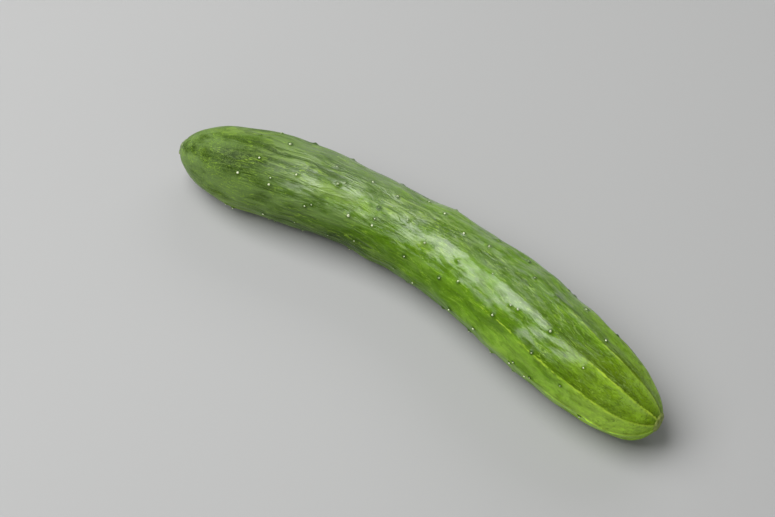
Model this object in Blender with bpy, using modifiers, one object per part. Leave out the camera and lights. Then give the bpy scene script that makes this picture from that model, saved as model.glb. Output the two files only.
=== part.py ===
"""A Japanese cucumber: one slim bent fruit with shallow ribs, small spiny warts, a trimmed stem and a
blossom scar, lying on three small flats.

Metres, +Z up. The stem end points to -X, the blossom end to +X, and the fruit bows towards +Y. The
origin is on the ground, under the middle of the fruit's bounding box.

The skin is one formula of two numbers: along, the straight distance from the stem end, and turn, the
angle round the fruit from its bowed side (0) over its top (a quarter turn).
"""

import math
import random

import bmesh
import bpy
import numpy as np
from mathutils import Matrix, Vector

# The fruit from end to end, and its bend seen from above: how far the middle stands out, how much of
# the bend lies in the stem half, and how straight the ends run.
LENGTH = 0.2071
BOW = 0.0140
BOW_SKEW = -0.416
BOW_EASE = -0.912

# Half the thickness at the shoulder, the waist and the belly, and how far along each of them lies.
SHOULDER_RADIUS, SHOULDER_AT = 0.0155, 0.0400
WAIST_RADIUS, WAIST_AT = 0.0146, 0.0782
BELLY_RADIUS, BELLY_AT = 0.0169, 0.1487

# How long the rounding of each end is, and how blunt it is.
STEM_ROUNDING, STEM_BLUNTNESS = 0.0429, 2.42
TIP_ROUNDING, TIP_BLUNTNESS = 0.0771, 4.15

# The small plane at each end, as the distance it is set back from the pole of the rounding.
STEM_FLAT, TIP_FLAT = 0.0004, 0.0006

# How the fruit lies: the ends droop over END_DROOP, and the underside is raised by RAISED between three
# low places, the middle and RESTS_AT of half the length either way. The ground cuts them FLAT_DEPTH deep.
END_DROOP = 0.016
RAISED = 0.0009
RESTS_AT = 0.66
FLAT_DEPTH = 0.0002

# The skin's relief: a trace of three lobes, ten ribs that rise near the blossom end, and seeded lumps.
LOBES, LOBE_SHARE, LOBE_TURN = 3, 0.012, 0.5
RIBS, RIB_HEIGHT, TIP_RIB_HEIGHT = 10, 0.00010, 0.00028
LUMPS, LUMP_HEIGHT = 7, 0.00011
LUMP_LENGTHS = (0.014, 0.045)
RELIEF_SEED = 5
PLAIN_UNDERSIDE, FULL_RELIEF = math.radians(10), math.radians(35)

# Swellings and hollows of the skin: the distance along, the angle round, how far each reaches both ways, and
# how high it stands.
SWELLINGS = (
    (0.006, math.radians(75), 0.008, math.radians(45), 0.00141),
    (0.021, math.radians(215), 0.009, math.radians(45), 0.00111),
    (0.052, math.radians(40), 0.005, math.radians(40), 0.00045),
    (0.070, math.radians(215), 0.007, math.radians(40), -0.00043),
    (0.073, math.radians(40), 0.006, math.radians(40), -0.00045),
    (0.080, math.radians(215), 0.008, math.radians(40), 0.00065),
    (0.092, math.radians(40), 0.006, math.radians(40), -0.00064),
    (0.101, math.radians(40), 0.006, math.radians(40), 0.00059),
    (0.101, math.radians(215), 0.006, math.radians(40), -0.00033),
    (0.127, math.radians(40), 0.010, math.radians(40), -0.00074),
    (0.148, math.radians(215), 0.010, math.radians(40), 0.00064),
    (0.174, math.radians(215), 0.009, math.radians(40), -0.00049),
    (0.190, math.radians(40), 0.008, math.radians(45), 0.00065),
    (0.203, math.radians(215), 0.006, math.radians(50), 0.00120),
)

# The warts, in a row on each rib between two distances from the stem end. Some have a close neighbour.
WARTS_FROM, WARTS_TO = 0.024, 0.184
WARTS_IN_ROW = 11
WART_SIZES = (0.75, 1.15)
WART_PAIR_CHANCE, WART_PAIR_GAP = 0.14, 0.0028
WART_LEAST_HEIGHT = 0.002
WART_SEED = 23
WART_SIDES = 6
# A wart's outline as (radius, height) from the tip of its spine down to its root in the flesh.
WART_PROFILE = (
    (0.0, 0.00082),
    (0.00040, 0.00068),
    (0.00072, 0.00034),
    (0.00145, -0.00005),
    (0.00145, -0.00060),
    (0.0, -0.00060),
)

STUB_RADIUS, STUB_FOOT_RADIUS = 0.0031, 0.0046
STUB_PROUD, STUB_SUNK, STUB_RIDGES, STUB_GROOVE = 0.0004, 0.0025, 5, 0.86

SCAR_SIDES = 20
# The blossom scar's outline as (radius, height): a shallow pit, a soft rim and a sunk foot.
SCAR_PROFILE = (
    (0.0, 0.00020),
    (0.0011, 0.00022),
    (0.0021, 0.00062),
    (0.0030, 0.00055),
    (0.0038, -0.00010),
    (0.0038, -0.00150),
    (0.0, -0.00150),
)

SKIN_RINGS, SKIN_SIDES = 60, 40
# Rings lie closer towards the ends, down to this share of an even spacing.
END_SPACING = 0.15


def smoothstep(share):
    share = np.clip(share, 0.0, 1.0)
    return share * share * (3.0 - 2.0 * share)


def half_thickness(from_stem, from_tip):
    """The radius of the plain round fruit, at these distances from its two ends."""
    to_waist = smoothstep((from_stem - SHOULDER_AT) / (WAIST_AT - SHOULDER_AT))
    to_belly = smoothstep((from_stem - WAIST_AT) / (BELLY_AT - WAIST_AT))
    body = SHOULDER_RADIUS + (WAIST_RADIUS - SHOULDER_RADIUS) * to_waist
    body = body + (BELLY_RADIUS - WAIST_RADIUS) * to_belly
    stem_cap = np.clip(1.0 - from_stem / STEM_ROUNDING, 0.0, 1.0) ** STEM_BLUNTNESS
    tip_cap = np.clip(1.0 - from_tip / TIP_ROUNDING, 0.0, 1.0) ** TIP_BLUNTNESS
    return body * np.sqrt(1.0 - stem_cap) * np.sqrt(1.0 - tip_cap)


def centreline(along):
    """The middle of the fruit's section at each distance."""
    share = 2.0 * along / LENGTH - 1.0
    bow = BOW * (1.0 - share**2) * (1.0 + BOW_SKEW * share + BOW_EASE * share**2)
    from_stem = (along**4 + END_DROOP**4) ** 0.25
    from_tip = ((LENGTH - along) ** 4 + END_DROOP**4) ** 0.25
    raised = RAISED * np.sin(math.pi * np.clip(share / RESTS_AT, -1.0, 1.0)) ** 2
    height = half_thickness(from_stem, from_tip) + raised - FLAT_DEPTH
    return np.stack([share * LENGTH / 2.0, bow, height], axis=-1)


def unit(vectors):
    return vectors / np.linalg.norm(vectors, axis=-1, keepdims=True)


def section(along):
    """The centre of each section, and its directions ahead to the tip, to the bowed side and up."""
    step = LENGTH / 2000.0
    ahead = unit(centreline(along + step) - centreline(along - step))
    side = unit(np.cross((0.0, 0.0, 1.0), ahead))
    return centreline(along), ahead, side, np.cross(ahead, side)


def lump_waves():
    """Each lump wave: how many go round, its length, its lean and its phase."""
    draw = random.Random(RELIEF_SEED)
    return [
        (draw.randint(1, 5), draw.uniform(*LUMP_LENGTHS), draw.choice((-1, 1)), draw.uniform(0.0, math.tau))
        for _ in range(LUMPS)
    ]


def spread(along, turn, area):
    """How much a point belongs to an area of the skin, from 1 in its middle down to nothing."""
    at, facing, reach, reach_round = area[:4]
    across = (turn - facing + math.pi) % math.tau - math.pi
    return np.exp(-(((along - at) / reach) ** 2) - (across / reach_round) ** 2)


def relief(along, turn):
    """How far the skin stands out from the plain round fruit."""
    radius = half_thickness(along, LENGTH - along)
    lobes = LOBE_SHARE * radius * np.cos(LOBES * turn - LOBE_TURN)
    rib_height = RIB_HEIGHT + (TIP_RIB_HEIGHT - RIB_HEIGHT) * smoothstep((along / LENGTH - 0.45) / 0.35)
    ribs = rib_height * np.cos(RIBS * turn)
    lumps = sum(
        LUMP_HEIGHT * np.sin(round_it * turn + lean * math.tau * along / wave + phase)
        for round_it, wave, lean, phase in lump_waves()
    )
    swellings = sum(area[4] * spread(along, turn, area) for area in SWELLINGS)
    from_below = np.abs((turn + math.pi / 2.0 + math.pi) % math.tau - math.pi)
    beside = smoothstep((from_below - PLAIN_UNDERSIDE) / (FULL_RELIEF - PLAIN_UNDERSIDE))
    return (lobes + ribs + lumps + swellings) * beside * smoothstep(radius / SHOULDER_RADIUS)


def skin(along, turn):
    """The points of the skin, before the growths and the flats."""
    radius = half_thickness(along, LENGTH - along) + relief(along, turn)
    centre, _, side, up = section(np.clip(along, STEM_FLAT, LENGTH - TIP_FLAT))
    outward = side * np.cos(turn)[..., None] + up * np.sin(turn)[..., None]
    return centre + radius[..., None] * outward


def ring_distances(rings):
    """Distances from one end to the other, closer together towards the ends."""
    share = np.linspace(0.0, 1.0, rings + 1)
    return LENGTH * (share - (1.0 - END_SPACING) / math.tau * np.sin(math.tau * share))


def middle_of_skin():
    """The middle of the skin's bounding box in plan, at ground level."""
    along, turn = np.meshgrid(ring_distances(400), np.linspace(0.0, math.tau, 361))
    points = skin(along, turn).reshape(-1, 3)
    middle = (points.min(axis=0) + points.max(axis=0)) / 2.0
    return Vector((middle[0], middle[1], 0.0))


def skin_frame(along, turn):
    """Where a point of the skin is, turned so that +Z leads straight out of the skin."""
    step = 0.0005
    spot = np.array([along, along + step, along - step, along, along])
    round_it = np.array([turn, turn, turn, turn + step / BELLY_RADIUS, turn - step / BELLY_RADIUS])
    points = skin(spot, round_it)
    outward = Vector(np.cross(points[3] - points[4], points[1] - points[2]))
    return Matrix.Translation(points[0]) @ outward.to_track_quat("Z", "Y").to_matrix().to_4x4()


def end_frame(at_tip):
    """The middle of the plane at one end, turned so that +Z leads out of the fruit."""
    along = np.array([LENGTH - TIP_FLAT if at_tip else STEM_FLAT])
    centre, ahead, _, _ = section(along)
    outward = Vector(ahead[0]) if at_tip else -Vector(ahead[0])
    return Matrix.Translation(centre[0]) @ outward.to_track_quat("Z", "Y").to_matrix().to_4x4()


def wart_places():
    """The distance, angle and size of each wart."""
    draw = random.Random(WART_SEED)
    places = []
    for row in range(RIBS):
        for number in range(WARTS_IN_ROW):
            share = (number + 0.5 * (row % 2) + 0.25 + draw.uniform(-0.32, 0.32)) / WARTS_IN_ROW
            along = WARTS_FROM + share * (WARTS_TO - WARTS_FROM)
            turn = (row + draw.uniform(-0.30, 0.30)) * math.tau / RIBS
            places.append((along, turn, draw.uniform(*WART_SIZES)))
            if draw.random() < WART_PAIR_CHANCE:
                toward = draw.uniform(0.0, math.tau)
                beside = turn + WART_PAIR_GAP * math.sin(toward) / BELLY_RADIUS
                places.append((along + WART_PAIR_GAP * math.cos(toward), beside, WART_SIZES[0]))
    return [place for place in places if skin_frame(*place[:2]).translation.z > WART_LEAST_HEIGHT]


def principled(name, colour, roughness):
    material = bpy.data.materials.new(name)
    material.use_nodes = True
    shader = material.node_tree.nodes["Principled BSDF"]
    shader.inputs["Base Color"].default_value = (*colour, 1.0)
    shader.inputs["Roughness"].default_value = roughness
    shader.inputs["Metallic"].default_value = 0.0
    return material


def add_object(name, mesh, collection, matrix=None):
    obj = bpy.data.objects.new(name, mesh)
    collection.objects.link(obj)
    obj.matrix_world = matrix or Matrix()
    return obj


def applied(obj, modifier):
    bpy.context.view_layer.objects.active = obj
    bpy.ops.object.modifier_apply(modifier=modifier.name)


def turned_mesh(name, profile, sides, collection):
    """A profile given from its top down, turned round Z into a closed mesh."""
    mesh = bpy.data.meshes.new(name)
    points = [(radius, 0.0, height) for radius, height in profile]
    mesh.from_pydata(points, [(i, i + 1) for i in range(len(points) - 1)], [])
    obj = add_object(name, mesh, collection)
    turn = obj.modifiers.new("turn", "SCREW")
    turn.steps = turn.render_steps = sides
    turn.use_merge_vertices = True
    turn.merge_threshold = 1e-5
    applied(obj, turn)
    bpy.data.objects.remove(obj)
    return mesh


def add_skin(collection, middle):
    """A UV sphere whose points are moved onto the formula's skin."""
    distances = ring_distances(SKIN_RINGS)
    mesh = bpy.data.meshes.new("cucumber")
    shape = bmesh.new()
    bmesh.ops.create_uvsphere(shape, u_segments=SKIN_SIDES, v_segments=SKIN_RINGS, radius=1.0)
    ball = np.array([vertex.co for vertex in shape.verts])
    ring = np.arccos(np.clip(-ball[:, 2], -1.0, 1.0)) / math.pi * SKIN_RINGS
    along = distances[np.rint(ring).astype(int)]
    for vertex, point in zip(shape.verts, skin(along, np.arctan2(ball[:, 1], ball[:, 0]))):
        vertex.co = Vector(point) - middle
    shape.to_mesh(mesh)
    shape.free()
    return add_object("cucumber", mesh, collection)


def stub_mesh():
    """The trimmed stem: a low cone that is grooved between its five ridges."""
    mesh = bpy.data.meshes.new("stem_stub")
    shape = bmesh.new()
    bmesh.ops.create_cone(
        shape,
        cap_ends=True,
        segments=2 * STUB_RIDGES,
        radius1=STUB_FOOT_RADIUS,
        radius2=STUB_RADIUS,
        depth=STUB_PROUD + STUB_SUNK,
    )
    for vertex in shape.verts:
        turn = math.atan2(vertex.co.y, vertex.co.x)
        in_groove = math.cos(STUB_RIDGES * turn) < 0.0
        share = STUB_GROOVE if in_groove else 1.0
        vertex.co = (vertex.co.x * share, vertex.co.y * share, vertex.co.z + (STUB_PROUD - STUB_SUNK) / 2.0)
    shape.to_mesh(mesh)
    shape.free()
    return mesh


def add_growths(collection, middle):
    """The warts, the stem stub and the blossom scar, each an object with its root in the flesh."""
    to_origin = Matrix.Translation(-middle)
    wart = turned_mesh("wart", WART_PROFILE, WART_SIDES, collection)
    for number, (along, turn, size) in enumerate(wart_places()):
        matrix = to_origin @ skin_frame(along, turn) @ Matrix.Scale(size, 4)
        add_object(f"wart_{number:03d}", wart, collection, matrix)
    add_object("stem_stub", stub_mesh(), collection, to_origin @ end_frame(at_tip=False))
    scar = turned_mesh("blossom_scar", SCAR_PROFILE, SCAR_SIDES, collection)
    add_object("blossom_scar", scar, collection, to_origin @ end_frame(at_tip=True))


def fuse(obj, collection):
    """Joins every object of the collection to this one, and removes them."""
    union = obj.modifiers.new("growths", "BOOLEAN")
    union.operation = "UNION"
    union.solver = "EXACT"
    union.operand_type = "COLLECTION"
    union.collection = collection
    applied(obj, union)
    for grown in list(collection.objects):
        bpy.data.objects.remove(grown)


def cut_flats(obj, collection):
    """Cuts the underside level with the ground."""
    depth = 0.01
    bpy.ops.mesh.primitive_cube_add(size=1.0, location=(0.0, 0.0, -depth / 2.0))
    ground = bpy.context.object
    ground.name = "ground_cutter"
    ground.scale = (LENGTH * 1.2, LENGTH / 2.0, depth)
    ground.hide_render = True
    ground.display_type = "WIRE"
    for home in ground.users_collection:
        home.objects.unlink(ground)
    collection.objects.link(ground)
    cut = obj.modifiers.new("flats", "BOOLEAN")
    cut.operation = "DIFFERENCE"
    cut.solver = "EXACT"
    cut.object = ground


def new_collection(name):
    collection = bpy.data.collections.new(name)
    bpy.context.scene.collection.children.link(collection)
    return collection


def main():
    for obj in list(bpy.data.objects):
        bpy.data.objects.remove(obj)
    fruit = new_collection("japanese_cucumber")
    growths = new_collection("growths")
    cutters = new_collection("cutters")

    middle = middle_of_skin()
    cucumber = add_skin(fruit, middle)
    add_growths(growths, middle)
    fuse(cucumber, growths)
    cut_flats(cucumber, cutters)
    cucumber.data.materials.clear()
    cucumber.data.materials.append(principled("green_skin", (0.085, 0.165, 0.030), 0.32))
    cucumber.data.shade_smooth()
    cucumber.data.set_sharp_from_angle(angle=math.radians(40))


main()
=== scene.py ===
"""The looks of one Japanese cucumber: a fine skin with soft ribs, spiny warts and pale stripes, a cut stem
and a dried blossom scar, lying on a pale studio floor. Metres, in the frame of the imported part."""

import math
import random

import bmesh
import bpy
import numpy as np
from mathutils import Matrix, Vector


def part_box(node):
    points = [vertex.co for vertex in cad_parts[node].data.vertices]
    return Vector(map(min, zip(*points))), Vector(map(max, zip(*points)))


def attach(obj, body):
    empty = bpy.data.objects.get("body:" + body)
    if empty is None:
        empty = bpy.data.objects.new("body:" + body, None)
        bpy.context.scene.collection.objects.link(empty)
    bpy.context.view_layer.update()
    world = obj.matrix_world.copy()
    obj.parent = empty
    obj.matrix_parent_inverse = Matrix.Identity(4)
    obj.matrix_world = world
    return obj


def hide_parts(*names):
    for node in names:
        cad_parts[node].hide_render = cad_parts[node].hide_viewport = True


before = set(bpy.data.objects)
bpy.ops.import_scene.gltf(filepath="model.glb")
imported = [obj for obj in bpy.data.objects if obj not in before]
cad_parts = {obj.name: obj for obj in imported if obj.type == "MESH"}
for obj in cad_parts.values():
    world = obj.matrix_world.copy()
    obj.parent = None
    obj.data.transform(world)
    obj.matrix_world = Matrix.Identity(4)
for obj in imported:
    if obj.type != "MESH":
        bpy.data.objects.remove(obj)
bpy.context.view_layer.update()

BODY = "root"
NODE = "cucumber"

# The form of the fruit: the same named sizes as the part's own source.
LENGTH = 0.2071
BOW, BOW_SKEW, BOW_EASE = 0.0140, -0.416, -0.912
SHOULDER_RADIUS, SHOULDER_AT = 0.0155, 0.0400
WAIST_RADIUS, WAIST_AT = 0.0146, 0.0782
BELLY_RADIUS, BELLY_AT = 0.0169, 0.1487
STEM_ROUNDING, STEM_BLUNTNESS = 0.0429, 2.42
TIP_ROUNDING, TIP_BLUNTNESS = 0.0771, 4.15
STEM_FLAT, TIP_FLAT = 0.0004, 0.0006
END_DROOP, RAISED, RESTS_AT, FLAT_DEPTH = 0.016, 0.0009, 0.66, 0.0002
LOBES, LOBE_SHARE, LOBE_TURN = 3, 0.012, 0.5
RIBS, RIB_HEIGHT, TIP_RIB_HEIGHT = 10, 0.00010, 0.00028
TIP_RIBS_FROM, TIP_RIBS_GROW_OVER = 0.45, 0.35
LUMPS, LUMP_HEIGHT, LUMP_LENGTHS, LUMPS_ROUND, RELIEF_SEED = 7, 0.00011, (0.014, 0.045), (1, 5), 5
PLAIN_UNDERSIDE, FULL_RELIEF = math.radians(10), math.radians(35)
# Swellings and hollows of the skin: the distance along, the angle round in degrees, how far each reaches both
# ways, and how high it stands.
SWELLINGS = (
    (0.006, 75, 0.008, 45, 0.00141),
    (0.021, 215, 0.009, 45, 0.00111),
    (0.052, 40, 0.005, 40, 0.00045),
    (0.070, 215, 0.007, 40, -0.00043),
    (0.073, 40, 0.006, 40, -0.00045),
    (0.080, 215, 0.008, 40, 0.00065),
    (0.092, 40, 0.006, 40, -0.00064),
    (0.101, 40, 0.006, 40, 0.00059),
    (0.101, 215, 0.006, 40, -0.00033),
    (0.127, 40, 0.010, 40, -0.00074),
    (0.148, 215, 0.010, 40, 0.00064),
    (0.174, 215, 0.009, 40, -0.00049),
    (0.190, 40, 0.008, 45, 0.00065),
    (0.203, 215, 0.006, 50, 0.00120),
)
# Warts in rows on the ribs. In a row they are moved by up to these shares of their spacing, along and round.
WARTS_FROM, WARTS_TO, WARTS_IN_ROW, WART_SIZES = 0.024, 0.184, 11, (0.75, 1.15)
WART_ROW_START, WART_STRAY_ALONG, WART_STRAY_ROUND = 0.25, 0.32, 0.30
WART_PAIR_CHANCE, WART_PAIR_GAP, WART_LEAST_HEIGHT, WART_SEED = 0.14, 0.0028, 0.002, 23

# Steps for measuring the form: along the centreline, over the skin, and for its middle.
CENTRELINE_STEP, SKIN_STEP = LENGTH / 2000.0, 0.0005
MIDDLE_RINGS, MIDDLE_SIDES = 400, 361
# Points this close to an end are on it, and points this close together are one.
ON_THE_END, WELDED = 1e-9, 1e-6

# The fine skin. The wart's foot is raised out of it, and its spine is a bead on top.
SKIN_RINGS, SKIN_SIDES, END_SPACING = 424, 228, 0.15
WART_FOOT, WART_RISE, WART_SHARPNESS = 0.0015, 0.00060, 1.3
# The strengths of the painted shadow round the warts' feet come from WART_PAINTED_SHADOWS.
WART_PAINTED_SHADOWS, FAR_FROM_WARTS = (0.25, 1.0), 9.0
BEAD_RADIUS, BEAD_TOP, BEAD_SQUASH, BEAD_SIZES = 0.00044, 0.00080, 0.9, (0.65, 1.05)
BEAD_SIDES, BEAD_RINGS = 12, 8

# The pale stripes run on the ribs to the blossom end. Each has a strength, and a share of the length where it
# begins to show. They are drawn by the seed, apart from those that the picture shows.
STRIPE_STRENGTHS, STRIPES_BEGIN, STRIPE_GROWS_OVER, STRIPE_SEED = (0.45, 0.85), (0.58, 0.74), 0.13, 31
STRIPES_SEEN = {1: (0.60, 0.70), 2: (0.55, 0.71), 3: (1.0, 0.79), 4: (0.80, 0.60), 5: (0.75, 0.72)}
# Each sways from side to side in two waves, of these angles and lengths, and its strength pulses.
STRIPE_SWAYS = ((0.024, 0.0170), (0.016, 0.0061))
STRIPE_PULSE, STRIPE_PULSE_LENGTH = 0.25, 0.0033

# The paler and darker areas of the skin, many of them painted light and shade, as marked: the distance along,
# the angle round in degrees, how far the area reaches each way, and how many times the colour is doubled in
# its middle.
TONES_AND_PAINTED_LIGHT = (
    (0.005, 180, 0.010, 40, 0.30),
    (0.022, 62, 0.016, 24, 0.60),
    (0.028, 120, 0.016, 28, -0.60),
    # Painted light: a pale rim under the stem end, where light from below catches the lower edge.
    (0.030, 208, 0.020, 26, 1.50),
    (0.036, 82, 0.012, 14, -0.30),
    (0.036, 58, 0.018, 16, 0.25),
    # Painted highlight: the highlight's pale streaks carried on towards the stem.
    (0.068, 116, 0.015, 13, 1.00),
    # Painted shadow: the shade cast on the underside near the middle.
    (0.068, 196, 0.034, 34, -0.95),
    # Painted shade above the highlight band.
    (0.088, 78, 0.018, 12, -0.25),
    # Painted shade above the highlight band.
    (0.116, 88, 0.038, 16, -0.62),
    # Painted light along the upper limb.
    (0.120, 58, 0.055, 13, 0.28),
    # Painted highlight: a paler cloud inside the highlight.
    (0.129, 112, 0.012, 15, 0.40),
    # Paler underside towards the blossom end: partly a pale ground spot, partly a painted reflection of the
    # bright floor.
    (0.160, 188, 0.030, 32, 1.00),
    (0.180, 82, 0.016, 12, -0.35),
    # Painted sheen near the upper limb by the tip.
    (0.186, 58, 0.020, 18, 0.38),
    # Paler underside at the blossom end: partly a pale ground spot, partly a painted reflection of the bright
    # floor.
    (0.192, 190, 0.020, 38, 1.80),
    # A paler tip: partly its own colour, partly painted light on the end that faces away from the lamps.
    (0.202, 110, 0.009, 80, 0.45),
)
# Near the tip, painted shade darkens one side of each pale stripe, which is above it on the fruit's hollow
# side, as if the groove there lay in shadow, and a painted reflection lightens the other, counted in the same
# way, as if that flank mirrored the bright surroundings. Both begin at a share of the length and grow over
# another. On the way to the middle of the gap, the painted shade sets in by GROOVE_EDGE and fades from
# GROOVE_FULL on to GROOVE_LEFT of itself, and the painted reflection is gone by FLANK_REACH.
GROOVE_PAINTED_SHADE, FLANK_PAINTED_REFLECTION = -0.95, 0.45
GROOVES_BEGIN, GROOVES_GROW_OVER = 0.66, 0.24
GROOVE_EDGE, GROOVE_FULL, GROOVE_LEFT, FLANK_REACH = 0.12, 0.2, 0.25, 0.9

# The stub is a ball reshaped: its cut face begins at STUB_CUT of the turn from the middle up to the pole, and
# below that it slopes out to a foot.
STUB_RADIUS, STUB_FOOT_RADIUS, STUB_PROUD, STUB_SUNK = 0.0031, 0.0046, 0.0004, 0.0025
STUB_CUT, STUB_SLOPE, STUB_BOTTOM, STUB_FULLNESS = 0.42, 0.9, 0.6, 1.25
STUB_RIDGES, STUB_GROOVE, STUB_HOLLOW = 5, 0.86, 0.0003
STUB_SIDES, STUB_RINGS = 100, 40
# The scar's profile from its top down: radius and height.
SCAR_PROFILE = (
    (0.0, 0.00020),
    (0.0011, 0.00022),
    (0.0021, 0.00062),
    (0.0030, 0.00055),
    (0.0038, -0.00010),
    (0.0038, -0.00150),
    (0.0, -0.00150),
)
SCAR_SIDES, SCAR_STEPS = 72, 5

# Colours, as linear red, green and blue.
STEM_GREEN = (0.038, 0.076, 0.008)
BODY_GREEN = (0.077, 0.174, 0.001)
TIP_GREEN = (0.138, 0.246, 0.003)
# Pale green is mixed into the palest areas of the tone, painted light among them.
PALE_GREEN = (0.260, 0.370, 0.085)
# Dark green is for the real smudges at the tip and for the painted shadow round each wart.
DARK_GREEN = (0.026, 0.068, 0.002)
BLOOM_GREEN = (0.145, 0.225, 0.070)
STRIPE_GREEN = (0.430, 0.600, 0.050)
SPECK_GREEN = (0.190, 0.310, 0.045)
VEIN_GREEN = (0.260, 0.420, 0.040)
# The colour of the painted glints on the upper side.
PAINTED_GLINT_GREEN = (0.235, 0.355, 0.080)
SPINE_GREEN, SPINE_WHITE = (0.13, 0.24, 0.04), (0.86, 0.90, 0.62)
CUT_LIGHT, CUT_DARK = (0.26, 0.32, 0.14), (0.10, 0.16, 0.05)
SCAR_LIGHT, SCAR_DARK = (0.29, 0.36, 0.07), (0.15, 0.20, 0.02)
FLOOR_DARK, FLOOR_LIGHT = (0.37, 0.37, 0.37), (0.40, 0.40, 0.40)
SHEEN_TINT = (0.80, 1.0, 0.72)

# The noises of the skin: waves a metre along the fruit and across it, detail, roughness and distortion.
BROAD = (45.0, 80.0, 3.0, 0.5, 0.0)
PATCHES = (170.0, 300.0, 3.0, 0.6, 0.6)
STREAKS = (62.0, 430.0, 4.0, 0.62, 0.5)
GRAIN = (360.0, 1050.0, 3.5, 0.72, 0.8)
FLECKS = (230.0, 1000.0, 4.0, 0.72, 1.0)
THREADS = (75.0, 620.0, 2.0, 0.6, 1.2)
RAGGED = (480.0, 1200.0, 3.0, 0.65, 0.0)
WORMS = (520.0, 640.0, 3.0, 0.7, 1.6)
DENTS = (75.0, 165.0, 1.5, 0.5, 0.5)
CLOUDS = (85.0, 120.0, 2.0, 0.6, 0.0)
# The sizes of the mottles on the other pieces and on the floor, in waves a metre.
SPINE_MOTTLE, CUT_MOTTLE, SCAR_MOTTLE, FLOOR_MOTTLE = 3000.0, 700.0, 900.0, 3.0
# How high the bumps stand.
DENT_DEPTH, WRINKLE_HEIGHT, GRAIN_HEIGHT, SPINE_BUMP, PLAIN_BUMP = 0.00110, 0.00115, 0.00010, 0.00003, 0.0001

FLOOR_SIZE = 12.0
# Each light: its azimuth and elevation in degrees, distance, width, height and power.
SOFTBOXES = {
    "overhead_softbox": (-66.0, 61.5, 1.1, 1.00, 1.00, 17.0),
    "front_softbox": (45.0, 20.0, 1.3, 1.60, 0.80, 3.0),
    "back_softbox": (190.0, 35.0, 1.3, 1.20, 0.50, 3.5),
}
SKY_COLOUR, SKY_STRENGTH = (0.96, 1.0, 0.94, 1.0), 0.16

# The camera: where it looks from, how far it stands, its lens, and where the fruit's middle falls in the
# picture, as shares of the picture's width right of and above its centre.
AZIMUTH, ELEVATION, DISTANCE, LENS = 34.8, 56.0, 0.9, 117.2
MIDDLE_RIGHT, MIDDLE_UP, MIDDLE_HEIGHT = 0.0484, -0.0027, 0.44


def smoothstep(share):
    share = np.clip(share, 0.0, 1.0)
    return share * share * (3.0 - 2.0 * share)


def wrapped(angle):
    """The same angle, within half a turn of nothing."""
    return (angle + math.pi) % math.tau - math.pi


def half_thickness(from_stem, from_tip):
    """The radius of the plain round fruit, at these distances from its two ends."""
    to_waist = smoothstep((from_stem - SHOULDER_AT) / (WAIST_AT - SHOULDER_AT))
    to_belly = smoothstep((from_stem - WAIST_AT) / (BELLY_AT - WAIST_AT))
    body = SHOULDER_RADIUS + (WAIST_RADIUS - SHOULDER_RADIUS) * to_waist
    body = body + (BELLY_RADIUS - WAIST_RADIUS) * to_belly
    stem_cap = np.clip(1.0 - from_stem / STEM_ROUNDING, 0.0, 1.0) ** STEM_BLUNTNESS
    tip_cap = np.clip(1.0 - from_tip / TIP_ROUNDING, 0.0, 1.0) ** TIP_BLUNTNESS
    return body * np.sqrt(1.0 - stem_cap) * np.sqrt(1.0 - tip_cap)


def centreline(along):
    """The middle of the fruit's section at each distance."""
    share = 2.0 * along / LENGTH - 1.0
    bow = BOW * (1.0 - share**2) * (1.0 + BOW_SKEW * share + BOW_EASE * share**2)
    from_stem = (along**4 + END_DROOP**4) ** 0.25
    from_tip = ((LENGTH - along) ** 4 + END_DROOP**4) ** 0.25
    raised = RAISED * np.sin(math.pi * np.clip(share / RESTS_AT, -1.0, 1.0)) ** 2
    height = half_thickness(from_stem, from_tip) + raised - FLAT_DEPTH
    return np.stack([share * LENGTH / 2.0, bow, height], axis=-1)


def unit(vectors):
    return vectors / np.linalg.norm(vectors, axis=-1, keepdims=True)


def section(along):
    """The centre of each section, and its directions ahead to the tip, to the bowed side and up."""
    ahead = unit(centreline(along + CENTRELINE_STEP) - centreline(along - CENTRELINE_STEP))
    side = unit(np.cross((0.0, 0.0, 1.0), ahead))
    return centreline(along), ahead, side, np.cross(ahead, side)


def outward_of(turn, side, up):
    """The direction from the centreline to each point."""
    return side * np.cos(turn)[..., None] + up * np.sin(turn)[..., None]


def lump_waves():
    """Each lump wave: how many go round, its length, its lean and its phase."""
    draw = random.Random(RELIEF_SEED)
    return [
        (
            draw.randint(*LUMPS_ROUND),
            draw.uniform(*LUMP_LENGTHS),
            draw.choice((-1, 1)),
            draw.uniform(0.0, math.tau),
        )
        for _ in range(LUMPS)
    ]


def sum_of_areas(areas, along, turn):
    """What soft areas of the skin come to at each point. Each is full in its middle and fades all round."""
    total = 0.0
    for at, facing, reach, reach_round, amount in areas:
        across = wrapped(turn - math.radians(facing)) / math.radians(reach_round)
        total = total + amount * np.exp(-(((along - at) / reach) ** 2) - across**2)
    return total


def relief(along, turn):
    """How far the skin stands out from the plain round fruit."""
    radius = half_thickness(along, LENGTH - along)
    lobes = LOBE_SHARE * radius * np.cos(LOBES * turn - LOBE_TURN)
    near_tip = smoothstep((along / LENGTH - TIP_RIBS_FROM) / TIP_RIBS_GROW_OVER)
    ribs = (RIB_HEIGHT + (TIP_RIB_HEIGHT - RIB_HEIGHT) * near_tip) * np.cos(RIBS * turn)
    lumps = sum(
        LUMP_HEIGHT * np.sin(round_it * turn + lean * math.tau * along / wave + phase)
        for round_it, wave, lean, phase in lump_waves()
    )
    swellings = sum_of_areas(SWELLINGS, along, turn)
    from_below = np.abs(wrapped(turn + math.pi / 2.0))
    beside = smoothstep((from_below - PLAIN_UNDERSIDE) / (FULL_RELIEF - PLAIN_UNDERSIDE))
    return (lobes + ribs + lumps + swellings) * beside * smoothstep(radius / SHOULDER_RADIUS)


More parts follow.
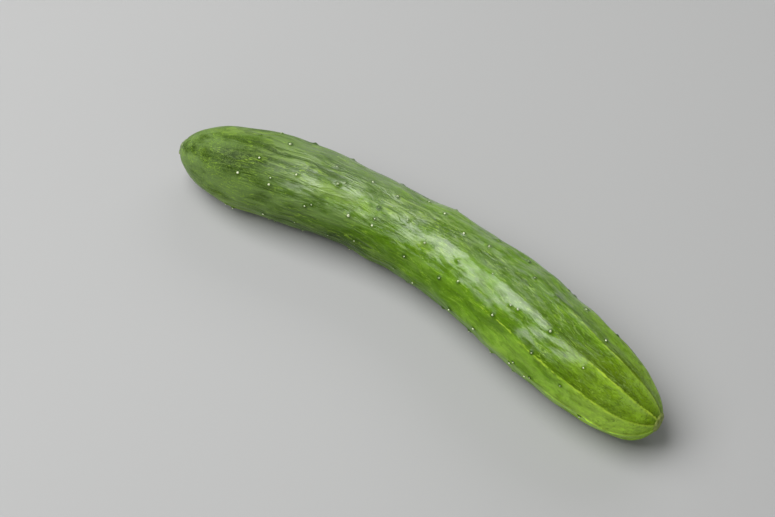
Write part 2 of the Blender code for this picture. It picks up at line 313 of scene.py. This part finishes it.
def skin(along, turn):
    """The points of the skin, before the growths and the flats."""
    radius = half_thickness(along, LENGTH - along) + relief(along, turn)
    centre, _, side, up = section(np.clip(along, STEM_FLAT, LENGTH - TIP_FLAT))
    return centre + radius[..., None] * outward_of(turn, side, up)


def ring_distances(rings):
    """Distances from one end to the other, closer together towards the ends."""
    share = np.linspace(0.0, 1.0, rings + 1)
    return LENGTH * (share - (1.0 - END_SPACING) / math.tau * np.sin(math.tau * share))


def middle_of_skin():
    """The middle of the skin's bounding box in plan, at ground level."""
    along, turn = np.meshgrid(ring_distances(MIDDLE_RINGS), np.linspace(0.0, math.tau, MIDDLE_SIDES))
    points = skin(along, turn).reshape(-1, 3)
    middle = (points.min(axis=0) + points.max(axis=0)) / 2.0
    return Vector((middle[0], middle[1], 0.0))


MIDDLE = middle_of_skin()


def facing_frame(point, outward):
    """A place at this point, turned so that +Z leads outward."""
    return Matrix.Translation(point) @ outward.to_track_quat("Z", "Y").to_matrix().to_4x4()


def skin_frame(along, turn):
    """Where a point of the skin is, turned so that +Z leads straight out of the skin."""
    angle = SKIN_STEP / BELLY_RADIUS
    spot = np.array([along, along + SKIN_STEP, along - SKIN_STEP, along, along])
    round_it = np.array([turn, turn, turn, turn + angle, turn - angle])
    points = skin(spot, round_it)
    return facing_frame(points[0], Vector(np.cross(points[3] - points[4], points[1] - points[2])))


def end_frame(at_tip):
    """The middle of the plane at one end, turned so that +Z leads out of the fruit."""
    centre, ahead, _, _ = section(np.array([LENGTH - TIP_FLAT if at_tip else STEM_FLAT]))
    return facing_frame(centre[0], Vector(ahead[0]) if at_tip else -Vector(ahead[0]))


def wart_places():
    """The distance, angle and size of each wart. Every other row is moved on by half a space."""
    draw = random.Random(WART_SEED)
    places = []
    for row in range(RIBS):
        for number in range(WARTS_IN_ROW):
            stray = draw.uniform(-WART_STRAY_ALONG, WART_STRAY_ALONG)
            share = (number + 0.5 * (row % 2) + WART_ROW_START + stray) / WARTS_IN_ROW
            along = WARTS_FROM + share * (WARTS_TO - WARTS_FROM)
            turn = (row + draw.uniform(-WART_STRAY_ROUND, WART_STRAY_ROUND)) * math.tau / RIBS
            places.append((along, turn, draw.uniform(*WART_SIZES)))
            if draw.random() < WART_PAIR_CHANCE:
                toward = draw.uniform(0.0, math.tau)
                beside = turn + WART_PAIR_GAP * math.sin(toward) / BELLY_RADIUS
                places.append((along + WART_PAIR_GAP * math.cos(toward), beside, WART_SIZES[0]))
    return [place for place in places if skin_frame(*place[:2]).translation.z > WART_LEAST_HEIGHT]


def as_mesh(name, shape):
    mesh = bpy.data.meshes.new(name)
    shape.to_mesh(mesh)
    shape.free()
    return mesh


def add_piece(mesh, material):
    """Puts a mesh in the scene as a piece of the fruit, under the mesh's name."""
    obj = bpy.data.objects.new(mesh.name, mesh)
    bpy.context.scene.collection.objects.link(obj)
    mesh.materials.append(material)
    mesh.shade_smooth()
    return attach(obj, BODY)


def set_attribute(mesh, name, values, kind="FLOAT"):
    field = "vector" if kind == "FLOAT_VECTOR" else "value"
    attribute = mesh.attributes.new(name, kind, "POINT")
    attribute.data.foreach_set(field, np.ravel(values).astype(np.float32))


def unwrap_round(mesh, along, turn):
    """A map with the way round across it and the way along up it, cut along the underside. A corner at an
    end lies midway across its face."""
    corners = np.empty(len(mesh.loops), np.int32)
    mesh.loops.foreach_get("vertex_index", corners)
    starts = np.empty(len(mesh.polygons), np.int32)
    mesh.polygons.foreach_get("loop_start", starts)
    face = np.repeat(np.arange(len(starts)), np.diff(np.append(starts, len(corners))))
    across = ((turn + math.pi / 2.0) / math.tau) % 1.0
    u, v = across[corners], along[corners] / LENGTH
    at_end = (along[corners] < ON_THE_END) | (along[corners] > LENGTH - ON_THE_END)
    highest = np.zeros(len(starts))
    np.maximum.at(highest, face, np.where(at_end, 0.0, u))
    u = np.where(highest[face] - u > 0.5, u + 1.0, u)
    total, count = np.zeros(len(starts)), np.zeros(len(starts))
    np.add.at(total, face, np.where(at_end, 0.0, u))
    np.add.at(count, face, ~at_end)
    u = np.where(at_end, (total / count)[face], u)
    layer = mesh.uv_layers.new(name="OFBake")
    layer.data.foreach_set("uv", np.stack([u, v], axis=-1).ravel().astype(np.float32))


def stripe_field(along, turn):
    """How far each point is from the nearest pale stripe in millimetres, how strong that stripe is, and how
    far from it to the middle of the gap the point is, from -1 to 1."""
    draw = random.Random(STRIPE_SEED)
    nearest = np.full(along.shape, 1.0)
    strength = np.zeros(along.shape)
    side = np.zeros(along.shape)
    radius = half_thickness(along, LENGTH - along)
    for number in range(RIBS):
        drawn = (draw.uniform(*STRIPE_STRENGTHS), draw.uniform(*STRIPES_BEGIN))
        most, begins = STRIPES_SEEN.get(number, drawn)
        *sways, pulse_phase = [draw.uniform(0.0, math.tau) for _ in range(len(STRIPE_SWAYS) + 1)]
        sway = sum(
            angle * np.sin(along / wave + phase) for (angle, wave), phase in zip(STRIPE_SWAYS, sways)
        )
        across = wrapped(turn - math.tau * number / RIBS - sway)
        off = np.abs(across) * radius
        closer = off < nearest
        nearest = np.where(closer, off, nearest)
        side = np.where(closer, across * RIBS / math.pi, side)
        grows = smoothstep((along / LENGTH - begins) / STRIPE_GROWS_OVER)
        pulse = 1.0 - STRIPE_PULSE + STRIPE_PULSE * np.sin(along / STRIPE_PULSE_LENGTH + pulse_phase)
        strength = np.where(closer, most * grows * pulse, strength)
    return nearest * 1000.0, strength, side


def tone_and_painted_light_field(along, turn, side):
    """How many times each point's colour is doubled, by the areas, many of them painted light and shade, and
    by the painted shade and reflection on either side of the stripe it is on.
    """
    from_line = np.clip(np.abs(side), 0.0, 1.0)
    fades = smoothstep((from_line - GROOVE_FULL) / (1.0 - GROOVE_FULL))
    # dark is the painted shade in the groove, pale the painted reflection on the flank.
    dark = GROOVE_PAINTED_SHADE * smoothstep(from_line / GROOVE_EDGE) * (1.0 - (1.0 - GROOVE_LEFT) * fades)
    pale = GROOVE_PAINTED_SHADE * GROOVE_LEFT * smoothstep(from_line)
    pale = pale + FLANK_PAINTED_REFLECTION * (1.0 - smoothstep(from_line / FLANK_REACH))
    near_tip = smoothstep((along / LENGTH - GROOVES_BEGIN) / GROOVES_GROW_OVER)
    return np.where(side < 0.0, dark, pale) * near_tip + sum_of_areas(TONES_AND_PAINTED_LIGHT, along, turn)


def make_skin(material):
    """A fine UV sphere moved onto the formula's skin, with the warts' feet raised out of it."""
    shape = bmesh.new()
    bmesh.ops.create_uvsphere(shape, u_segments=SKIN_SIDES, v_segments=SKIN_RINGS, radius=1.0)
    mesh = as_mesh("cucumber_skin", shape)
    ball = np.empty(len(mesh.vertices) * 3, np.float32)
    mesh.vertices.foreach_get("co", ball)
    ball = ball.reshape(-1, 3).astype(float)
    ring = np.rint(np.arccos(np.clip(-ball[:, 2], -1.0, 1.0)) / math.pi * SKIN_RINGS).astype(int)
    along = ring_distances(SKIN_RINGS)[ring]
    turn = np.arctan2(ball[:, 1], ball[:, 0])
    points = skin(along, turn)
    _, _, side, up = section(along)

    draw = random.Random(WART_SEED)
    from_wart = np.full(len(points), FAR_FROM_WARTS)
    wart_painted_shadow = np.zeros(len(points))
    rise = np.zeros(len(points))
    for wart_along, wart_turn, size in wart_places():
        spot = np.array(skin_frame(wart_along, wart_turn).translation)
        reach = np.linalg.norm(points - spot, axis=1) / (WART_FOOT * size)
        # Each wart draws how strong the painted shadow round its foot is.
        wart_painted_shadow = np.where(reach < from_wart, draw.uniform(*WART_PAINTED_SHADOWS), wart_painted_shadow)
        from_wart = np.minimum(from_wart, reach)
        rise = np.maximum(rise, WART_RISE * size * (1.0 - smoothstep(reach)) ** WART_SHARPNESS)
    points = points + outward_of(turn, side, up) * rise[:, None] - np.array(MIDDLE)
    points[:, 2] = np.maximum(points[:, 2], 0.0)
    mesh.vertices.foreach_set("co", points.ravel().astype(np.float32))

    radius = half_thickness(along, LENGTH - along)
    straight = np.stack([along, radius * np.cos(turn), radius * np.sin(turn)], axis=-1)
    from_stripe, strength, from_gap = stripe_field(along, turn)
    set_attribute(mesh, "straight", straight, "FLOAT_VECTOR")
    set_attribute(mesh, "from_wart", from_wart)
    set_attribute(mesh, "wart_painted_shadow", wart_painted_shadow)
    set_attribute(mesh, "from_stripe", from_stripe)
    set_attribute(mesh, "stripe_strength", strength)
    set_attribute(mesh, "tone_and_painted_light", tone_and_painted_light_field(along, turn, from_gap))
    unwrap_round(mesh, along, turn)
    obj = add_piece(mesh, material)
    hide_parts(NODE)


def make_beads(material):
    """The dried spine on each wart, a small bead that is anything from green to almost white."""
    draw = random.Random(WART_SEED)
    shape = bmesh.new()
    paleness = []
    for along, turn, size in wart_places():
        size *= draw.uniform(*BEAD_SIZES)
        radius, half_height = BEAD_RADIUS * size, BEAD_RADIUS * size * BEAD_SQUASH
        middle = Matrix.Translation((0.0, 0.0, BEAD_TOP * size - half_height))
        matrix = Matrix.Translation(-MIDDLE) @ skin_frame(along, turn) @ middle
        scale = Matrix.Diagonal((radius, radius, half_height, 1.0))
        made = bmesh.ops.create_uvsphere(
            shape, u_segments=BEAD_SIDES, v_segments=BEAD_RINGS, radius=1.0, matrix=matrix @ scale
        )
        paleness += [draw.random()] * len(made["verts"])
    mesh = as_mesh("spine_beads", shape)
    set_attribute(mesh, "paleness", paleness)
    add_piece(mesh, material)


def turned(name, profile, sides, matrix):
    """A profile given from its top down, turned round Z."""
    shape = bmesh.new()
    verts = [shape.verts.new((radius, 0.0, height)) for radius, height in profile]
    edges = [shape.edges.new(pair) for pair in zip(verts, verts[1:])]
    bmesh.ops.spin(
        shape, geom=verts + edges, axis=(0, 0, 1), cent=(0, 0, 0), steps=sides, angle=math.tau
    )
    bmesh.ops.remove_doubles(shape, verts=shape.verts, dist=WELDED)
    bmesh.ops.recalc_face_normals(shape, faces=shape.faces)
    bmesh.ops.transform(shape, matrix=matrix, verts=shape.verts)
    return as_mesh(name, shape)


def smooth_profile(profile):
    """The profile's points with more between them, on a curve that passes close to each."""
    points = np.array([profile[0], *profile, profile[-1]])
    fine = []
    for a, b, c in zip(points, points[1:], points[2:]):
        for t in np.linspace(0.0, 1.0, SCAR_STEPS, endpoint=False):
            start, end = (a + b) / 2.0, (b + c) / 2.0
            fine.append((1 - t) ** 2 * start + 2 * t * (1 - t) * b + t**2 * end)
    fine.append(points[-1])
    return [(max(float(radius), 0.0), float(height)) for radius, height in fine]


def make_scar(material):
    """The blossom scar: a low soft ring round a shallow pit."""
    matrix = Matrix.Translation(-MIDDLE) @ end_frame(at_tip=True)
    mesh = turned("blossom_scar", smooth_profile(SCAR_PROFILE), SCAR_SIDES, matrix)
    add_piece(mesh, material)


def make_stub(material):
    """The trimmed stem, with five ridges and a slightly hollow cut face."""
    shape = bmesh.new()
    bmesh.ops.create_uvsphere(shape, u_segments=STUB_SIDES, v_segments=STUB_RINGS, radius=1.0)
    for vertex in shape.verts:
        x, y, z = vertex.co
        turn = math.atan2(y, x)
        level = math.asin(max(-1.0, min(1.0, z))) / (math.pi / 2.0)
        fullness = min(1.0, math.hypot(x, y) * STUB_FULLNESS)
        on_slope = STUB_PROUD + (level - STUB_CUT) * STUB_SLOPE * STUB_SUNK / STUB_CUT
        height = max(min(STUB_PROUD, on_slope), -STUB_SUNK * STUB_BOTTOM)
        to_foot = (STUB_PROUD - height) / (STUB_PROUD + STUB_SUNK)
        ridge = STUB_GROOVE + (1.0 - STUB_GROOVE) * (0.5 + 0.5 * math.cos(STUB_RIDGES * turn))
        radius = (STUB_RADIUS + (STUB_FOOT_RADIUS - STUB_RADIUS) * to_foot) * fullness * ridge
        if level > STUB_CUT:
            height -= STUB_HOLLOW * (1.0 - fullness**2)
        vertex.co = (radius * math.cos(turn), radius * math.sin(turn), height)
    matrix = Matrix.Translation(-MIDDLE) @ end_frame(at_tip=False)
    bmesh.ops.transform(shape, matrix=matrix, verts=shape.verts)
    add_piece(as_mesh("stem_stub", shape), material)


class Nodes:
    """Builds one material's nodes. The calls take numbers, colours and the outputs of other nodes."""

    def __init__(self, name):
        self.material = bpy.data.materials.new(name)
        self.material.use_nodes = True
        self.tree = self.material.node_tree
        self.shader = self.tree.nodes["Principled BSDF"]

    def feed(self, socket, value):
        if isinstance(value, bpy.types.NodeSocket):
            self.tree.links.new(value, socket)
        elif value is not None:
            socket.default_value = (*value, 1.0) if socket.type == "RGBA" else value

    def shade(self, **values):
        for name, value in values.items():
            socket = name.replace("_", " ").title().replace("Ior", "IOR")
            self.feed(self.shader.inputs[socket], value)

    def attribute(self, name, output="Fac"):
        node = self.tree.nodes.new("ShaderNodeAttribute")
        node.attribute_name = name
        return node.outputs[output]

    def noise(self, vector, along, across, detail=2.0, roughness=0.5, distortion=0.0):
        """A noise with this many waves a metre along X, and along Y and Z."""
        stretch = self.tree.nodes.new("ShaderNodeVectorMath")
        stretch.operation = "MULTIPLY"
        self.feed(stretch.inputs[0], vector)
        stretch.inputs[1].default_value = (along, across, across)
        node = self.tree.nodes.new("ShaderNodeTexNoise")
        self.feed(node.inputs["Vector"], stretch.outputs[0])
        node.inputs["Scale"].default_value = 1.0
        node.inputs["Detail"].default_value = detail
        node.inputs["Roughness"].default_value = roughness
        node.inputs["Distortion"].default_value = distortion
        return node.outputs["Fac"]

    def object_noise(self, size, **settings):
        """An even noise in the object's own coordinates."""
        place = self.tree.nodes.new("ShaderNodeTexCoord").outputs["Object"]
        return self.noise(place, size, size, **settings)

    def math(self, operation, first, second=None):
        node = self.tree.nodes.new("ShaderNodeMath")
        node.operation = operation
        self.feed(node.inputs[0], first)
        self.feed(node.inputs[1], second)
        return node.outputs[0]

    def times(self, first, *others):
        for other in others:
            first = self.math("MULTIPLY", first, other)
        return first

    def centred(self, value, amount):
        """A noise value moved to run evenly either side of nothing, this far each way."""
        return self.times(self.math("SUBTRACT", value, 0.5), 2.0 * amount)

    def ramp(self, value, start, end, low=0.0, high=1.0):
        """Goes smoothly from low at start to high at end."""
        node = self.tree.nodes.new("ShaderNodeMapRange")
        node.interpolation_type = "SMOOTHSTEP"
        self.feed(node.inputs["Value"], value)
        self.feed(node.inputs["From Min"], start)
        self.feed(node.inputs["From Max"], end)
        self.feed(node.inputs["To Min"], low)
        self.feed(node.inputs["To Max"], high)
        return node.outputs[0]

    def ridge(self, value, width):
        """Thin lines, where a noise value passes its middle."""
        return self.ramp(self.math("ABSOLUTE", self.math("SUBTRACT", value, 0.5)), 0.0, width, 1.0, 0.0)

    def scaled(self, colour, share):
        node = self.tree.nodes.new("ShaderNodeVectorMath")
        node.operation = "SCALE"
        self.feed(node.inputs[0], colour)
        self.feed(node.inputs["Scale"], share)
        return node.outputs[0]

    def mix(self, share, first, second):
        node = self.tree.nodes.new("ShaderNodeMix")
        node.data_type = "RGBA"
        self.feed(node.inputs["Factor"], share)
        self.feed(node.inputs[6], first)
        self.feed(node.inputs[7], second)
        return node.outputs[2]

    def bump(self, height, distance, normal=None):
        node = self.tree.nodes.new("ShaderNodeBump")
        node.inputs["Strength"].default_value = 1.0
        node.inputs["Distance"].default_value = distance
        self.feed(node.inputs["Height"], height)
        self.feed(node.inputs["Normal"], normal)
        return node.outputs[0]


class SkinNodes(Nodes):
    """Nodes for the skin, which know each point's place on the fruit laid out straight: its share of the
    length, how much it faces up, and the noises that several looks share."""

    def __init__(self, name):
        super().__init__(name)
        self.straight = self.attribute("straight", "Vector")
        separate = self.tree.nodes.new("ShaderNodeSeparateXYZ")
        self.feed(separate.inputs[0], self.straight)
        along, to_side, to_top = separate.outputs
        self.share = self.math("DIVIDE", along, LENGTH)
        self.upper = self.ramp(self.math("ADD", to_top, self.times(to_side, 0.5)), 0.000, 0.0125, 0.10, 1.0)
        self.broad = self.skin_noise(BROAD)
        self.streaks = self.skin_noise(STREAKS)
        self.grain = self.skin_noise(GRAIN)
        self.patches = self.skin_noise(PATCHES)
        self.tone_and_painted_light = self.attribute("tone_and_painted_light")

    def skin_noise(self, settings):
        return self.noise(self.straight, *settings)

    def by_length(self, start, end, low=0.0, high=1.0):
        """Goes smoothly from low to high between these shares of the length."""
        return self.ramp(self.share, start, end, low, high)

    def green_zones(self):
        """Deep green at the stem, fresh green in the middle, pale green at the tip, with uneven borders."""
        zone = self.math("ADD", self.share, self.centred(self.broad, 0.20))
        colour = self.mix(self.ramp(zone, 0.05, 0.55), STEM_GREEN, BODY_GREEN)
        return self.mix(self.ramp(zone, 0.72, 1.0), colour, TIP_GREEN)

    def mottled(self, colour):
        """Darker and lighter in patches, streaks and grain."""
        fineness = (self.by_length(0.68, 0.86, 0.6, 1.2), self.by_length(0.14, 0.30, 0.45, 1.0))
        grained = self.times(self.centred(self.grain, 1.0), *fineness)
        streaked = self.times(self.centred(self.streaks, 0.5), self.by_length(0.06, 0.20, 0.20, 1.0))
        mottle = self.math("ADD", self.centred(self.patches, 0.45), grained)
        mottle = self.math("ADD", mottle, streaked)
        return self.scaled(colour, self.ramp(mottle, -0.90, 0.90, 0.48, 1.70))

    def toned_with_painted_light(self, colour):
        """The paler and darker areas, partly the skin's own tone and partly painted light and shade, made
        uneven by the patches. The palest lose some of their green.
        """
        uneven = self.times(self.tone_and_painted_light, self.ramp(self.patches, 0.35, 0.65, 0.65, 1.35))
        colour = self.scaled(colour, self.math("POWER", 2.0, uneven))
        return self.mix(self.ramp(uneven, 0.0, 1.2, 0.0, 0.55), colour, PALE_GREEN)

    def painted_glints(self, colour):
        """Painted highlights on the upper side, where the overhead light falls: pale glints in fine flecks
        and, towards the stem, in long streaks.
        """
        flecks = self.ramp(self.skin_noise(FLECKS), 0.48, 0.68, 0.0, 0.55)
        flecks = self.times(flecks, self.upper, self.by_length(0.12, 0.50, 0.08, 1.0))
        long = self.ramp(self.streaks, 0.50, 0.60, 0.0, 0.65)
        long = self.times(long, self.by_length(0.45, 0.66, 1.0, 0.10), self.by_length(0.12, 0.22))
        long = self.times(long, self.ramp(self.upper, 0.0, 1.0, 0.35, 1.0))
        return self.mix(self.math("MAXIMUM", flecks, long), colour, PAINTED_GLINT_GREEN)

    def bloomed(self, colour):
        """A greyish bloom at the stem end, thinner where the tone darkens the skin, painted shade included.
        """
        where = self.math("ADD", self.broad, self.centred(self.streaks, 0.30))
        bloom = self.times(self.by_length(0.25, 0.50, 0.75, 0.10), self.ramp(where, 0.42, 0.62))
        bloom = self.times(bloom, self.ramp(self.tone_and_painted_light, -0.6, 0.0, 0.15, 1.0))
        return self.mix(bloom, colour, BLOOM_GREEN)

    def veined(self, colour):
        """Long pale threads in the lighter patches."""
        veins = self.ridge(self.skin_noise(THREADS), 0.028)
        veins = self.times(veins, self.ramp(self.patches, 0.42, 0.60, 0.0, 0.75))
        return self.mix(veins, colour, VEIN_GREEN)

    def striped(self, colour):
        """The pale stripes, ragged at the edges and wider towards the tip."""
        ragged = self.centred(self.skin_noise(RAGGED), 0.80)
        from_line = self.math("ADD", self.attribute("from_stripe"), ragged)
        width = self.by_length(0.60, 1.0, 0.28, 0.50)
        line = self.ramp(self.math("DIVIDE", from_line, width), 0.10, 1.0, 1.0, 0.0)
        return self.mix(self.times(line, self.attribute("stripe_strength")), colour, STRIPE_GREEN)

    def specked(self, colour):
        """Short pale worm-like specks at the stem end, and dark smudges at the tip."""
        worm = self.skin_noise(WORMS)
        specks = self.times(self.ridge(worm, 0.034), self.by_length(0.12, 0.30, 0.60, 0.0))
        smudges = self.times(self.ramp(worm, 0.58, 0.68), self.by_length(0.84, 0.96, 0.0, 0.60))
        return self.mix(smudges, self.mix(specks, colour, SPECK_GREEN), DARK_GREEN)

    def painted_wart_shadows(self, colour):
        """A painted shadow round each wart's foot: a dark ring, stronger round some."""
        ring = self.ramp(self.attribute("from_wart"), 0.35, 1.05, 1.0, 0.0)
        return self.mix(self.times(ring, self.attribute("wart_painted_shadow")), colour, DARK_GREEN)

    def fine_relief(self):
        """Shallow dents, less at the tip, long wrinkles near the stem, and a fine grain all over."""
        dents = self.times(self.skin_noise(DENTS), self.by_length(0.78, 0.98, 1.0, 0.35))
        wrinkles = self.times(self.streaks, self.by_length(0.36, 0.58, 1.0, 0.12))
        wrinkles = self.times(wrinkles, self.by_length(0.08, 0.20, 0.25, 1.0))
        wrinkled = self.bump(wrinkles, WRINKLE_HEIGHT, self.bump(dents, DENT_DEPTH))
        return self.bump(self.grain, GRAIN_HEIGHT, wrinkled)

    def wax(self):
        """How glossy the skin is: in clouds on the upper side, less at both ends."""
        wax = self.times(self.by_length(0.15, 0.30, 0.10, 0.95), self.upper)
        wax = self.times(wax, self.by_length(0.76, 0.88, 1.0, 0.35))
        return self.times(wax, self.ramp(self.skin_noise(CLOUDS), 0.36, 0.54, 0.45, 1.0))


def skin_material():
    n = SkinNodes("waxy_green_skin")
    colour = n.green_zones()
    for layer in (n.mottled, n.toned_with_painted_light, n.painted_glints, n.bloomed, n.veined, n.striped, n.specked, n.painted_wart_shadows):
        colour = layer(colour)
    normal = n.fine_relief()
    n.shade(base_color=colour, normal=normal, coat_normal=normal)
    n.shade(roughness=0.50, ior=1.13, coat_weight=n.wax(), coat_roughness=0.16, coat_ior=1.6)
    n.shade(sheen_weight=0.12, sheen_roughness=0.35, sheen_tint=SHEEN_TINT)
    n.shade(subsurface_weight=0.08, subsurface_scale=0.003, subsurface_radius=(0.6, 1.0, 0.2))
    return n.material


def spine_material():
    n = Nodes("dry_spine")
    mottle = n.object_noise(SPINE_MOTTLE)
    paleness = n.math("ADD", n.attribute("paleness"), n.centred(mottle, 0.3))
    n.shade(base_color=n.mix(n.ramp(paleness, 0.22, 0.60), SPINE_GREEN, SPINE_WHITE))
    n.shade(roughness=0.38, normal=n.bump(mottle, SPINE_BUMP))
    return n.material


def plain_material(name, light, dark, size):
    """Two close colours, mottled finely, with a matching bump."""
    n = Nodes(name)
    mottle = n.object_noise(size, detail=3.0, roughness=0.6)
    n.shade(base_color=n.mix(n.ramp(mottle, 0.35, 0.65), dark, light))
    n.shade(roughness=0.6, normal=n.bump(mottle, PLAIN_BUMP))
    return n.material


def make_floor():
    bpy.ops.mesh.primitive_plane_add(size=FLOOR_SIZE)
    floor = bpy.context.object
    floor.name = "studio_floor"
    n = Nodes("pale_floor")
    n.shade(base_color=n.mix(n.object_noise(FLOOR_MOTTLE), FLOOR_DARK, FLOOR_LIGHT), roughness=0.75)
    floor.data.materials.append(n.material)


def direction(azimuth, elevation):
    """Where a point lies from the fruit, by its angles in degrees. Azimuth 0 is towards -Y."""
    a, e = math.radians(azimuth), math.radians(elevation)
    return Vector((math.sin(a) * math.cos(e), -math.cos(a) * math.cos(e), math.sin(e)))


def add_object(name, data, location, rotation):
    obj = bpy.data.objects.new(name, data)
    bpy.context.scene.collection.objects.link(obj)
    obj.location = location
    obj.rotation_mode = "QUATERNION"
    obj.rotation_quaternion = rotation
    return obj


def light_studio():
    for name, (azimuth, elevation, distance, width, height, power) in SOFTBOXES.items():
        toward = direction(azimuth, elevation)
        light = bpy.data.lights.new(name, "AREA")
        light.shape = "RECTANGLE"
        light.size, light.size_y, light.energy = width, height, power
        add_object(name, light, toward * distance, toward.to_track_quat("Z", "Y"))
    world = bpy.data.worlds.new("studio")
    bpy.context.scene.world = world
    world.use_nodes = True
    sky = world.node_tree.nodes["Background"].inputs
    sky["Color"].default_value = SKY_COLOUR
    sky["Strength"].default_value = SKY_STRENGTH
    bpy.context.scene.view_settings.view_transform = "Standard"


def make_camera():
    """Looks at the fruit from the picture's angle, turned so that its middle falls where it does there."""
    low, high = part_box(NODE)
    target = Vector(((low.x + high.x) / 2.0, (low.y + high.y) / 2.0, (high.z - low.z) * MIDDLE_HEIGHT))
    back = direction(AZIMUTH, ELEVATION)
    right = direction(AZIMUTH + 90.0, 0.0)
    up = back.cross(right)
    camera = bpy.data.cameras.new("camera")
    camera.lens = LENS
    camera.clip_start, camera.clip_end = 0.01, 100.0
    seen = DISTANCE * camera.sensor_width / LENS
    aim = target - right * MIDDLE_RIGHT * seen - up * MIDDLE_UP * seen
    location = target + back * DISTANCE
    level = Matrix((right, up, back)).transposed().to_quaternion()
    turned_aside = back.rotation_difference(location - aim)
    bpy.context.scene.camera = add_object("camera", camera, location, turned_aside @ level)


make_skin(skin_material())
make_beads(spine_material())
make_stub(plain_material("cut_stem", CUT_LIGHT, CUT_DARK, CUT_MOTTLE))
make_scar(plain_material("dried_scar", SCAR_LIGHT, SCAR_DARK, SCAR_MOTTLE))
make_floor()
light_studio()
make_camera()
